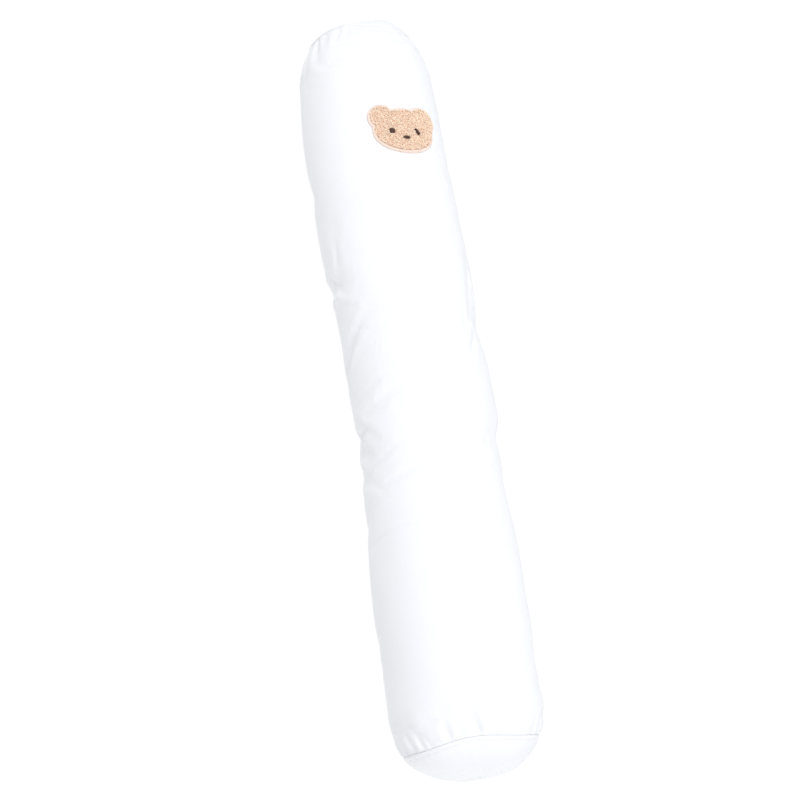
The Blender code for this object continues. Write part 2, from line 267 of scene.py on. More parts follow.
def make_piece(name: str, vertices: np.ndarray, faces: list, finish: bpy.types.Material) -> bpy.types.Object:
    """Makes a smooth piece that rides on the pillow.

    Args:
        name: The piece's name.
        vertices: Points, n by 3.
        faces: Rows of vertex numbers.
        finish: Its material.

    Returns:
        The object.
    """
    mesh = bpy.data.meshes.new(name)
    mesh.from_pydata(vertices.tolist(), [], faces)
    mesh.materials.append(finish)
    bm = bmesh.new()
    bm.from_mesh(mesh)
    bmesh.ops.recalc_face_normals(bm, faces=bm.faces)
    bm.to_mesh(mesh)
    bm.free()
    mesh.shade_smooth()
    piece = bpy.data.objects.new(name, mesh)
    bpy.context.scene.collection.objects.link(piece)
    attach(piece, BODY)
    LOG.info("%s: %d triangles", name, sum(len(face.vertices) - 2 for face in mesh.polygons))
    return piece


def lay_flat(piece: bpy.types.Object, flat: np.ndarray, wraps: bool) -> None:
    """Gives a piece its cloth's flat coordinates as a UV map.

    Args:
        piece: The object.
        flat: A place in metres for each vertex, n by 2.
        wraps: Whether the first column wraps round, where faces are then kept whole.
    """
    mesh = piece.data
    layer = mesh.uv_layers.new(name="cloth")
    corners = np.empty(len(mesh.loops), dtype=np.int64)
    mesh.loops.foreach_get("vertex_index", corners)
    places = flat[corners]
    if wraps:
        starts, totals = (np.empty(len(mesh.polygons), dtype=np.int64) for _ in range(2))
        mesh.polygons.foreach_get("loop_start", starts)
        mesh.polygons.foreach_get("loop_total", totals)
        owner = np.repeat(np.arange(len(starts)), totals)
        wrap = flat[:, 0].max() - flat[:, 0].min()
        low = np.minimum.reduceat(places[:, 0], starts)[owner]
        high = np.maximum.reduceat(places[:, 0], starts)[owner]
        crossing = high - low > wrap / 2
        places[crossing & (places[:, 0] < low + wrap / 2), 0] += wrap
    layer.data.foreach_set("uv", places.astype(np.float32).ravel())


def give_tones(piece: bpy.types.Object, tones: np.ndarray | tuple[float, ...]) -> None:
    """Gives a piece's vertices tones between its finish's shade and colour.

    Args:
        piece: The object.
        tones: One for each equal run of vertices.
    """
    layer = piece.data.attributes.new("tone", "FLOAT", "POINT")
    spread = np.repeat(tones, len(piece.data.vertices) // len(tones))
    layer.data.foreach_set("value", spread.astype(np.float32))


def threads_solid(paths: np.ndarray, over: np.ndarray, radius: np.ndarray,
                  sides: int) -> tuple[np.ndarray, list]:
    """Runs a round thread along each path.

    Args:
        paths: Points, threads by points by 3.
        over: A direction out of the cloth at each point.
        radius: The thread's radius at each point, threads by points.
        sides: How many sides a thread has.

    Returns:
        The vertices and the faces of all the threads.
    """
    count, steps = paths.shape[:2]
    ahead = np.gradient(paths, axis=1)
    ahead /= np.linalg.norm(ahead, axis=-1, keepdims=True)
    side = np.cross(ahead, over)
    side /= np.linalg.norm(side, axis=-1, keepdims=True)
    top = np.cross(side, ahead)
    turns = math.tau * np.arange(sides) / sides
    spoke = np.cos(turns)[:, None] * side[:, :, None] + np.sin(turns)[:, None] * top[:, :, None]
    vertices = paths[:, :, None] + radius[:, :, None, None] * spoke
    index = np.arange(count * steps * sides).reshape(count, steps, sides)
    after = np.roll(index, -1, axis=2)
    quads = np.stack((index[:, :-1], after[:, :-1], after[:, 1:], index[:, 1:]), axis=-1).reshape(-1, 4)
    ends = index[:, 0, ::-1].tolist() + index[:, -1].tolist()
    return vertices.reshape(-1, 3), quads.tolist() + ends


def sew(name: str, paths: np.ndarray, over: np.ndarray, radius: np.ndarray | float, sides: int,
        tones: np.ndarray | tuple[float, ...], finish: bpy.types.Material) -> bpy.types.Object:
    """Makes a piece of round threads.

    Args:
        name: The piece's name.
        paths: Points, threads by points by 3.
        over: A direction out of the cloth at each point.
        radius: The threads' radius, or one for each thread.
        sides: How many sides a thread has.
        tones: One tone for all, or one for each thread.
        finish: The thread's material.

    Returns:
        The object.
    """
    vertices, faces = threads_solid(paths, over, np.broadcast_to(radius, paths.shape[:2]), sides)
    piece = make_piece(name, vertices, faces, finish)
    give_tones(piece, tones)
    return piece


def fractal(points: np.ndarray, size: float, octaves: int) -> np.ndarray:
    """Soft noise in about -1 to 1 at n by 3 places, with its largest lumps `size` metres wide."""
    return np.array([noise.fractal(Vector(point), 0.9, 2.0, octaves) for point in points / size])


# The pillow's form


@dataclass(frozen=True)
class Section:
    """One section of the tube: its radius, and how far its centre lies to +X."""

    along: float
    radius: float
    shift: float


@dataclass(frozen=True)
class Pucker:
    """One fold that a seam draws in: degrees round, sizes in metres, and degrees of slant over its reach."""

    around: float
    width: float
    reach: float
    depth: float
    slant: float = 0.0


@dataclass(frozen=True)
class Crease:
    """One crease of the tube: half length, half width, depth, turn in degrees from the tube's length, and
    the share of its depth that stands up as a lip on either side."""

    along: float
    around: float
    length: float
    width: float
    depth: float
    turn: float
    lip: float = 0.0


@dataclass(frozen=True)
class Swell:
    """A soft rise at one side of an end, or a fall where negative: degrees round, half width and height."""

    around: float
    width: float
    height: float

    def at(self, around: np.ndarray) -> np.ndarray:
        """Its height at some angles in radians."""
        return self.height * np.exp(-((turn_between(np.degrees(around), self.around) / self.width) ** 2))


@dataclass(frozen=True)
class PanelForm:
    """How an end panel domes out, and how its seam runs."""

    height: float
    flatness: float
    steepness: float
    crown: float
    lean: float
    wave: float
    seam_swells: tuple[Swell, ...] = ()
    dome_swells: tuple[Swell, ...] = ()


@dataclass(frozen=True)
class PillowForm:
    """The filled pillow's main form: the solids' own, with its ends fitted closer to the photograph."""

    length: float = 0.758
    centre_height: float = 0.0710
    floor_press: float = 0.0045
    flat_trim: float = 0.0004
    gap: float = 0.0003
    origin: tuple[float, float] = (0.0002, 0.0018)
    seam_lobes: int = 4
    seam_crest: float = -27.0
    seam_reach: float = 0.018
    pucker_rise: float = 0.003
    panels: dict = field(default_factory=lambda: {
        End.FOOT: PanelForm(
            0.0275, 2.7, 0.76, 0.0065, 0.0012, 0.0016,
            dome_swells=(
                Swell(70.0, 30.0, 0.0010), Swell(-140.0, 35.0, -0.0020), Swell(165.0, 35.0, 0.0020),
            ),
        ),
        End.HEAD: PanelForm(
            0.0222, 2.3, 0.74, 0.0130, -0.0045, -0.0014,
            seam_swells=(Swell(-38.0, 16.0, 0.0035), Swell(-84.0, 17.0, -0.0026)),
            dome_swells=(Swell(-52.0, 38.0, -0.0056), Swell(8.0, 32.0, 0.0020)),
        ),
    })
    sections: tuple[Section, ...] = (
        Section(0.000, 0.0665, -0.0008),
        Section(0.010, 0.0722, -0.0006),
        Section(0.020, 0.0750, -0.0005),
        Section(0.035, 0.0770, -0.0005),
        Section(0.052, 0.0760, -0.0010),
        Section(0.080, 0.0750, -0.0005),
        Section(0.110, 0.0760, 0.0005),
        Section(0.150, 0.0770, 0.0010),
        Section(0.190, 0.0755, 0.0015),
        Section(0.235, 0.0725, 0.0025),
        Section(0.262, 0.0715, 0.0030),
        Section(0.300, 0.0700, 0.0045),
        Section(0.330, 0.0715, 0.0055),
        Section(0.375, 0.0725, 0.0050),
        Section(0.430, 0.0710, 0.0030),
        Section(0.470, 0.0725, 0.0025),
        Section(0.500, 0.0740, 0.0005),
        Section(0.540, 0.0745, -0.0020),
        Section(0.590, 0.0735, -0.0035),
        Section(0.640, 0.0735, -0.0050),
        Section(0.680, 0.0720, -0.0045),
        Section(0.700, 0.0705, -0.0040),
        Section(0.715, 0.0695, -0.0040),
        Section(0.726, 0.0680, -0.0045),
        Section(0.736, 0.0655, -0.0040),
        Section(0.747, 0.0612, -0.0032),
        Section(0.758, 0.0555, -0.0022),
    )

    def column(self, along: np.ndarray, name: str) -> np.ndarray:
        """Reads a column of the sections on one smooth curve through the rows.

        Args:
            along: Places along the tube.
            name: The column.

        Returns:
            A value for each place.
        """
        places = np.array([row.along for row in self.sections])
        values = np.array([getattr(row, name) for row in self.sections])
        last = len(places) - 1
        end = np.clip(np.searchsorted(places, along), 1, last)
        before, start, beyond = np.maximum(end - 2, 0), end - 1, np.minimum(end + 1, last)
        span = places[end] - places[start]
        share = (along - places[start]) / span
        rise = (values[end] - values[before]) / (places[end] - places[before]) * span
        fall = (values[beyond] - values[start]) / (places[beyond] - places[start]) * span
        return (
            values[start] * (2 * share**3 - 3 * share**2 + 1)
            + rise * (share**3 - 2 * share**2 + share)
            + values[end] * (3 * share**2 - 2 * share**3)
            + fall * (share**3 - share**2)
        )

    def seam_offset(self, end: End, around: np.ndarray) -> np.ndarray:
        """How far a seam lies towards the head of its own plane.

        Args:
            end: Which end.
            around: Angles in radians.

        Returns:
            A length for each angle.
        """
        panel = self.panels[end]
        from_crest = around - math.radians(self.seam_crest)
        offset = panel.lean * np.sin(from_crest) + panel.wave * np.cos(self.seam_lobes * from_crest)
        return offset + sum(swell.at(around) for swell in panel.seam_swells)

    def settled(self, points: np.ndarray) -> np.ndarray:
        """Flattens the underside on the floor, as its weight does, and sets the pillow over the origin.

        Args:
            points: Places, any shape by 3.

        Returns:
            The places once settled.
        """
        press = self.floor_press
        height = points[..., 2]
        flattened = (np.maximum(height, -press) + press) ** 2 / (4 * press)
        height = np.where(height < press, flattened, height)
        settled = points.copy()
        settled[..., 0] += self.origin[0]
        settled[..., 1] += self.origin[1]
        settled[..., 2] = np.maximum(0.0, height - self.flat_trim)
        return settled

    def centre(self, along: np.ndarray) -> np.ndarray:
        """The centres of the sections at places along the tube, before they settle."""
        shift = self.column(along, "shift")
        return np.stack((shift, along - self.length / 2, np.full_like(shift, self.centre_height)), axis=-1)

    def surface(self, along: np.ndarray, around: np.ndarray, inward: np.ndarray) -> np.ndarray:
        """Points of the tube's cloth.

        Args:
            along: Places along the tube.
            around: Angles in radians.
            inward: How far the cloth is drawn in there.

        Returns:
            Settled points.
        """
        radius = self.column(along, "radius") - inward
        points = self.centre(along)
        points[..., 0] += radius * np.sin(around)
        points[..., 2] += radius * np.cos(around)
        for end, distance in ((End.FOOT, along), (End.HEAD, self.length - along)):
            fading = np.exp(-np.maximum(distance, 0.0) / self.seam_reach)
            points[..., 1] += self.seam_offset(end, around) * fading
        return self.settled(points)


def turn_between(first: np.ndarray, second: np.ndarray | float) -> np.ndarray:
    """The smallest turns in degrees to the first angles from the second."""
    return (first - second + 180) % 360 - 180


@dataclass(frozen=True)
class Gathering:
    """The folds that one end's seam draws in: the main ones listed, and small ones at an uneven pitch."""

    main: tuple[Pucker, ...]
    small_pitch: float
    small_reach: float
    small_depth: float
    calm: tuple[float, float]
    calm_share: float
    seed: int
    hidden_count: int = 8
    hidden_pitch: float = 20.5
    hidden_first: Pucker = Pucker(80, 7.0, 0.027, 0.0024)
    hidden_sway: float = 3.5
    hidden_depth_sway: float = 0.0008
    hidden_sway_turn: float = 2.3
    small_sizes: tuple[float, float] = (0.5, 1.5)
    small_widths: tuple[float, float] = (0.22, 0.34)
    small_reaches: tuple[float, float] = (0.6, 1.5)
    small_slants: tuple[float, float] = (-2.0, 2.0)
    small_steps: tuple[float, float] = (0.6, 1.4)
    broadening: float = 0.5
    valley_power: float = 1.6
    lip: float = 0.22
    lip_place: float = 1.7
    lip_width: float = 0.7

    def folds(self) -> list[Pucker]:
        """All folds of the seam.

        Returns:
            The main folds, those of the underside and the small ones between.
        """
        folds = list(self.main)
        first = self.hidden_first
        for n in range(self.hidden_count):
            sway = math.sin(n * self.hidden_sway_turn)
            folds.append(Pucker(first.around + n * self.hidden_pitch + sway * self.hidden_sway,
                                first.width, first.reach, first.depth + sway * self.hidden_depth_sway))
        draw = np.random.default_rng(self.seed)
        around = -180.0
        while around < 180.0:
            size = draw.uniform(*self.small_sizes)
            share = self.calm_share if self.calm[0] < around < self.calm[1] else 1.0
            folds.append(Pucker(around, self.small_pitch * draw.uniform(*self.small_widths),
                                self.small_reach * draw.uniform(*self.small_reaches),
                                self.small_depth * size * share, draw.uniform(*self.small_slants)))
            around += self.small_pitch * draw.uniform(*self.small_steps)
        return folds

    def depth(self, around: np.ndarray, distance: np.ndarray, rise: float) -> np.ndarray:
        """How deep the folds draw the cloth in.

        Args:
            around: Angles in degrees.
            distance: How far from the seam.
            rise: The length within which a fold opens.

        Returns:
            A depth for each place.
        """
        depth = np.zeros_like(around)
        opening = 1 - np.exp(-distance / rise)
        turns = turn_between(around, 0.0)
        for fold in self.folds():
            path = fold.around + fold.slant * distance / fold.reach
            broad = fold.width * (1 + self.broadening * distance / fold.reach)
            aside = np.abs(turn_between(turns, path) / broad)
            lips = np.exp(-((aside - self.lip_place) / self.lip_width) ** 2)
            fading = np.exp(-((distance / fold.reach) ** 2))
            depth += fold.depth * (np.exp(-aside ** self.valley_power) - self.lip * lips) * opening * fading
        return depth


FOOT_GATHERING = Gathering(
    main=(
        Pucker(-119, 3.8, 0.026, 0.0028, 2.0),
        Pucker(-107, 3.2, 0.022, 0.0027, 1.5),
        Pucker(-95.5, 2.8, 0.020, 0.0027, 1.5),
        Pucker(-81, 2.6, 0.020, 0.0026, -3.5),
        Pucker(-69.5, 2.4, 0.018, 0.0024, -4.0),
        Pucker(-62, 2.2, 0.013, 0.0018, -5.0),
        Pucker(-45, 3.4, 0.030, 0.0026, -0.8),
        Pucker(-33.5, 2.6, 0.020, 0.0015, -4.0),
        Pucker(-20, 2.9, 0.031, 0.0060, -6.5),
        Pucker(4, 4.5, 0.016, 0.0010),
        Pucker(18, 4.5, 0.016, 0.0010),
        Pucker(36, 4.5, 0.030, 0.0024),
        Pucker(48, 4.5, 0.034, 0.0030),
        Pucker(60, 4.5, 0.030, 0.0026),
    ),
    small_pitch=4.6, small_reach=0.009, small_depth=0.00055, calm=(-18.0, 60.0), calm_share=0.45, seed=3,
)
HEAD_GATHERING = Gathering(
    main=(
        Pucker(-108, 5.0, 0.040, 0.0024, 2.0),
        Pucker(-92, 5.0, 0.060, 0.0026, 3.0),
        Pucker(-79, 3.4, 0.032, 0.0040, 9.0),
        Pucker(-66, 3.4, 0.022, 0.0020, 2.0),
        Pucker(-48.5, 3.4, 0.025, 0.0026, -1.0),
        Pucker(-37, 3.2, 0.022, 0.0022, -2.0),
        Pucker(-27.5, 3.2, 0.018, 0.0018, -2.0),
        Pucker(-12, 4.5, 0.018, 0.0014),
        Pucker(6, 4.5, 0.020, 0.0016),
        Pucker(24, 4.5, 0.022, 0.0016),
        Pucker(43, 4.5, 0.026, 0.0020),
        Pucker(60, 4.8, 0.028, 0.0022),
    ),
    small_pitch=5.2, small_reach=0.009, small_depth=0.00055, calm=(-18.0, 60.0), calm_share=0.6, seed=5,
)


# Tube and panels


def blurred(values: np.ndarray, sigma: float, axis: int) -> np.ndarray:
    """Blurs a grid's values along one of its axes; the second axis runs round.

    Args:
        values: Values, rows by columns.
        sigma: The blur's spread in steps.
        axis: The axis to blur along.

    Returns:
        The blurred values.
    """
    steps = np.arange(-round(3 * sigma), round(3 * sigma) + 1)
    weights = np.exp(-0.5 * (steps / sigma) ** 2)
    weights /= weights.sum()
    total = np.zeros_like(values)
    for step, weight in zip(steps, weights):
        if axis == 1:
            total += weight * np.roll(values, step, axis=1)
        else:
            total += weight * values[np.clip(np.arange(len(values)) + step, 0, len(values) - 1)]
    return total


def doubled(values: np.ndarray) -> np.ndarray:
    """Makes a grid twice as fine on a smooth curve; its second axis runs round.

    Args:
        values: Values, rows by columns.

    Returns:
        Values, one less than twice the rows by twice the columns.
    """
    rows = np.pad(values, ((1, 1), (0, 0)), mode="edge")
    between = (9 * (rows[1:-2] + rows[2:-1]) - rows[:-3] - rows[3:]) / 16
    taller = np.empty((2 * len(values) - 1, values.shape[1]))
    taller[::2], taller[1::2] = values, between
    left, right = np.roll(taller, 1, axis=1), np.roll(taller, -1, axis=1)
    wider = np.empty((len(taller), 2 * values.shape[1]))
    wider[:, ::2] = taller
    wider[:, 1::2] = (9 * (taller + right) - left - np.roll(taller, -2, axis=1)) / 16
    return wider


@dataclass(frozen=True)
class ClothSettling:
    """Blender's cloth simulation of a filled tube, whose little spare cloth finds its own wrinkles."""

    frames: int = 20
    quality: int = 5
    pressure: float = 4.0
    spare: float = 0.004
    stiffness: float = 15.0
    shear: float = 5.0
    bending: float = 0.5
    broad_rows: float = 5.5
    broad_columns: float = 7.0
    limit: float = 0.0016

    def simulate(self, grid: np.ndarray, held: np.ndarray) -> np.ndarray:
        """Runs the simulation on a closed tube.

        Args:
            grid: Its points, rows by columns by 3.
            held: Which points the seams, the patch or the floor hold.

        Returns:
            The settled points.
        """
        rows, columns = grid.shape[:2]
        vertices, faces = rings_solid(grid, grid[0].mean(axis=0), grid[-1].mean(axis=0))
        mesh = bpy.data.meshes.new("settling")
        mesh.from_pydata(vertices.tolist(), [], faces)
        tube = bpy.data.objects.new("settling", mesh)
        bpy.context.scene.collection.objects.link(tube)
        pins = tube.vertex_groups.new(name="held")
        pins.add([*np.flatnonzero(held).tolist(), rows * columns, rows * columns + 1], 1.0, "REPLACE")
        cloth = tube.modifiers.new("cloth", "CLOTH")
        settings = cloth.settings
        settings.quality = self.quality
        settings.tension_stiffness = settings.compression_stiffness = self.stiffness
        settings.shear_stiffness = self.shear
        settings.bending_stiffness = self.bending
        settings.shrink_min = -self.spare
        settings.use_pressure = True
        settings.uniform_pressure_force = self.pressure
        settings.vertex_group_mass = pins.name
        settings.effector_weights.gravity = 0.0
        cloth.collision_settings.use_collision = False
        cloth.point_cache.frame_start, cloth.point_cache.frame_end = 1, self.frames
        for moment in range(1, self.frames + 1):
            bpy.context.scene.frame_set(moment)
        settled = tube.evaluated_get(bpy.context.evaluated_depsgraph_get()).data
        places = np.empty(len(settled.vertices) * 3, dtype=np.float32)
        settled.vertices.foreach_get("co", places)
        bpy.data.objects.remove(tube, do_unlink=True)
        bpy.data.meshes.remove(mesh)
        bpy.context.scene.frame_set(1)
        return places.reshape(-1, 3)[: rows * columns].reshape(grid.shape).astype(float)

    def wrinkles(self, grid: np.ndarray, held: np.ndarray) -> np.ndarray:
        """Reads the wrinkles that the cloth settles into, without its broad swelling.

        Args:
            grid: The tube's points, rows by columns by 3.
            held: Which points the seams, the patch or the floor hold.

        Returns:
            How far each point of the grid stands out along its normal.
        """
        moved = self.simulate(grid, held) - grid
        rise = (moved * out_of(grid)).sum(axis=-1)
        rise -= blurred(blurred(rise, self.broad_rows, 0), self.broad_columns, 1)
        rise = self.limit * np.tanh(rise / self.limit)
        LOG.info("settled: wrinkles of %.2f mm on average", 1000 * rise.std())
        return np.where(held, 0.0, rise)


def out_of(grid: np.ndarray) -> np.ndarray:
    """The directions out of a tube's cloth.

    Args:
        grid: Its points, rows by columns by 3.

    Returns:
        A unit vector for each point.
    """
    lengthwise = np.gradient(grid, axis=0)
    sideways = np.roll(grid, -1, axis=1) - np.roll(grid, 1, axis=1)
    out = np.cross(sideways, lengthwise)
    return out / np.linalg.norm(out, axis=-1, keepdims=True)


@dataclass
class FilledTube:
    """The tube of cotton, plump with filling, with its gathers, creases and soft dents."""

    form: PillowForm
    gatherings: dict
    settling: ClothSettling = ClothSettling()
    fold_kept: float = 0.0016
    patch_hold: tuple[float, float] = (0.038, 0.030)
    floor_hold: float = 0.0008
    mean_radius: float = 0.073
    flat_radius: float = 0.0735
    steps_round: int = 256
    seam_steps: tuple[tuple[float, float], ...] = ((0.0010, 0.024), (0.0016, 0.052))
    middle_rings: int = 277
    dent_sizes: tuple[tuple[float, float], ...] = ((0.045, 0.0007), (0.014, 0.00028))
    dent_shares: tuple[float, float] = (0.35, 0.65)
    calm_top: float = -20.0
    calm_sides: tuple[float, float] = (25.0, 60.0)
    lip_place: float = 1.7
    lip_width: float = 0.75
    creases: tuple[Crease, ...] = (
        Crease(0.487, -105, 0.026, 0.0085, 0.0052, -85, 0.20),
        Crease(0.473, -98, 0.024, 0.0070, -0.0014, -80),
        Crease(0.515, -80, 0.026, 0.0060, 0.0012, 6, 0.30),
        Crease(0.412, -92, 0.032, 0.0062, 0.0050, 50, 0.20),
        Crease(0.421, -80, 0.030, 0.0055, -0.0010, 48),
        Crease(0.316, -107, 0.024, 0.0085, 0.0052, -48, 0.25),
        Crease(0.334, -84, 0.022, 0.0060, -0.0014, -48),
        Crease(0.282, -104, 0.022, 0.0080, 0.0022, -60, 0.20),
        Crease(0.236, -108, 0.024, 0.0100, 0.0016, 70),
        Crease(0.452, 42, 0.060, 0.0110, 0.0030, 8),
        Crease(0.424, 60, 0.030, 0.0120, 0.0042, -20),
        Crease(0.336, 62, 0.028, 0.0160, -0.0020, 20),
        Crease(0.306, 66, 0.018, 0.0140, 0.0024, 80),
        Crease(0.244, 64, 0.026, 0.0120, 0.0036, -12),
        Crease(0.142, 58, 0.030, 0.0140, 0.0018, 12),
        Crease(0.560, -70, 0.040, 0.0140, 0.0012, 84),
        Crease(0.350, 140, 0.045, 0.0140, 0.0030, 70),
        Crease(0.470, 128, 0.040, 0.0140, 0.0026, -60),
        Crease(0.220, 134, 0.040, 0.0140, 0.0022, 50),
        Crease(0.600, -132, 0.040, 0.0140, 0.0020, -70),
    )
    wrinkles: tuple[Crease, ...] = (
        Crease(0.488, -94, 0.015, 0.0042, 0.0016, -43, 0.35),
        Crease(0.468, -86, 0.014, 0.0034, -0.0010, -65, 0.3),
        Crease(0.495, -62, 0.012, 0.0020, 0.0005, 0, 0.4),
        Crease(0.504, -84, 0.012, 0.0030, 0.0005, 20, 0.4),
        Crease(0.416, -84, 0.016, 0.0020, 0.0012, 38, 0.5),
        Crease(0.410, -62, 0.010, 0.0018, 0.0005, 70, 0.4),
        Crease(0.402, -57, 0.008, 0.0018, 0.0005, 20, 0.4),
        Crease(0.3335, -78, 0.018, 0.0022, -0.0009, 80, 0.5),
        Crease(0.322, -96, 0.012, 0.0032, 0.0024, 62, 0.4),
        Crease(0.284, -86, 0.010, 0.0030, 0.0008, 55, 0.3),
        Crease(0.268, -84, 0.010, 0.0030, 0.0006, -60, 0.3),
        Crease(0.433, 26, 0.018, 0.0034, 0.0015, 5, 0.3),
        Crease(0.3985, 30, 0.014, 0.0050, 0.0018, 30, 0.3),
        Crease(0.424, 39, 0.008, 0.0060, -0.0010, 0),
        Crease(0.466, 15, 0.007, 0.0022, 0.0008, 20, 0.3),
        Crease(0.430, -72, 0.016, 0.0026, 0.0005, -62, 0.4),
        Crease(0.441, -60, 0.012, 0.0024, 0.0004, -80, 0.4),
        Crease(0.365, -74, 0.026, 0.0030, 0.0005, 68, 0.4),
        Crease(0.349, -66, 0.024, 0.0030, 0.0004, 72, 0.4),
        Crease(0.288, -76, 0.026, 0.0030, 0.0008, 64, 0.4),
        Crease(0.262, -70, 0.022, 0.0030, 0.0007, 72, 0.4),
        Crease(0.214, -72, 0.030, 0.0035, 0.0007, 80, 0.4),
        Crease(0.438, 52, 0.014, 0.0028, 0.0009, 30, 0.4),
        Crease(0.455, 56, 0.016, 0.0030, 0.0009, -30, 0.4),
        Crease(0.475, 48, 0.014, 0.0028, 0.0008, 10, 0.4),
        Crease(0.400, 58, 0.018, 0.0030, 0.0009, -40, 0.4),
    )

    def stations(self) -> np.ndarray:
        """Where the rings lie: close at the seams, wider in the middle.

        Returns:
            Places along the tube.
        """
        (fine_step, fine_end), (step, end) = self.seam_steps
        near = np.concatenate((np.arange(0.0, fine_end, fine_step), np.arange(fine_end, end, step)))
        middle = np.linspace(end, self.form.length - end, self.middle_rings)
        return np.concatenate((near, middle, self.form.length - near[::-1]))

    def crease_depth(self, along: np.ndarray, around: np.ndarray) -> np.ndarray:
        """How deep the creases and wrinkles are, with distances measured on the unrolled tube.

        Args:
            along: Places along the tube.
            around: Angles in degrees.

        Returns:
            A depth for each place.
        """
        depth = np.zeros_like(along)
        radius = self.form.column(along, "radius")
        for crease in self.creases + self.wrinkles:
            forward = along - crease.along
            aside = np.radians(turn_between(around, crease.around)) * radius
            turn = math.radians(crease.turn)
            lengthwise = (forward * math.cos(turn) + aside * math.sin(turn)) / crease.length
            across = (aside * math.cos(turn) - forward * math.sin(turn)) / crease.width
            lips = np.exp(-(((np.abs(across) - self.lip_place) / self.lip_width) ** 2))
            depth += crease.depth * np.exp(-lengthwise**2) * (np.exp(-across**2) - crease.lip * lips)
        return depth

    def dents(self, along: np.ndarray, around: np.ndarray) -> np.ndarray:
        """The filling's soft unevenness, felt through the cloth, stronger along the sides than on top.

        Args:
            along: Places along the tube.
            around: Angles in degrees.

        Returns:
            A depth for each place.
        """
        turn, radius = np.radians(around), self.mean_radius
        places = np.stack((radius * np.sin(turn), along, radius * np.cos(turn)), axis=-1).reshape(-1, 3)
        (broad_size, broad_depth), (fine_size, fine_depth) = self.dent_sizes
        broad = fractal(places, broad_size, 2)
        fine = fractal(places * np.array((1.0, 0.7, 1.0)) + 3.0, fine_size, 2)
        aside = np.abs(turn_between(around, self.calm_top)).reshape(-1)
        start, width = self.calm_sides
        top_share, side_share = self.dent_shares
        share = top_share + side_share * np.clip((aside - start) / width, 0.0, 1.0)
        return ((broad_depth * broad + fine_depth * fine) * share).reshape(along.shape)

    def inward(self, along: np.ndarray, around: np.ndarray) -> np.ndarray:
        """How far the cloth is drawn in by all of its folds.

        Args:
            along: Places along the tube.
            around: Angles in radians.

        Returns:
            A depth for each place.
        """
        degrees = np.degrees(around)
        depth = self.crease_depth(along, degrees)
        depth += self.dents(along, degrees)
        for end, distance in ((End.FOOT, along), (End.HEAD, self.form.length - along)):
            depth += self.gatherings[end].depth(degrees, distance, self.form.pucker_rise)
        return depth

    def held(self, along: np.ndarray, around: np.ndarray, grid: np.ndarray) -> np.ndarray:
        """Which points the seams, the patch or the floor hold while the cloth settles.

        Args:
            along: Places along the tube.
            around: Angles in radians.
            grid: The points.

        Returns:
            True where a point is held.
        """
        row = np.arange(len(along))[:, None]
        at_seam = (row < 2) | (row > len(along) - 3)
        across = around * self.form.column(along, "radius") / self.patch_hold[0]
        lengthwise = (along - PATCH_ALONG) / self.patch_hold[1]
        return at_seam | (across**2 + lengthwise**2 < 1) | (grid[..., 2] < self.floor_hold)

    def build(self, finish: bpy.types.Material) -> None:
        """Builds the tube's cloth.

        Args:
            finish: Its material.
        """
        along, around = np.meshgrid(
            self.stations(), np.linspace(-math.pi, math.pi, self.steps_round, endpoint=False), indexing="ij"
        )
        inward = self.inward(along, around)
        rings = self.form.surface(along, around, inward)
        coarse = rings[::2, ::2]
        held = self.held(along[::2, ::2], around[::2, ::2], coarse)
        share = 1 / (1 + (inward / self.fold_kept) ** 2)
        rings += out_of(rings) * (share * doubled(self.settling.wrinkles(coarse, held)))[..., None]
        ends = self.form.settled(self.form.centre(np.array((0.0, self.form.length))))
        vertices, faces = rings_solid(rings, *ends)
        piece = make_piece("tube_cloth", vertices, faces, finish)
        flat = np.stack((around * self.flat_radius, along), axis=-1).reshape(-1, 2)
        lay_flat(piece, np.vstack((flat, ((0.0, 0.0), (0.0, self.form.length)))), wraps=True)
        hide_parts("tube_panel")


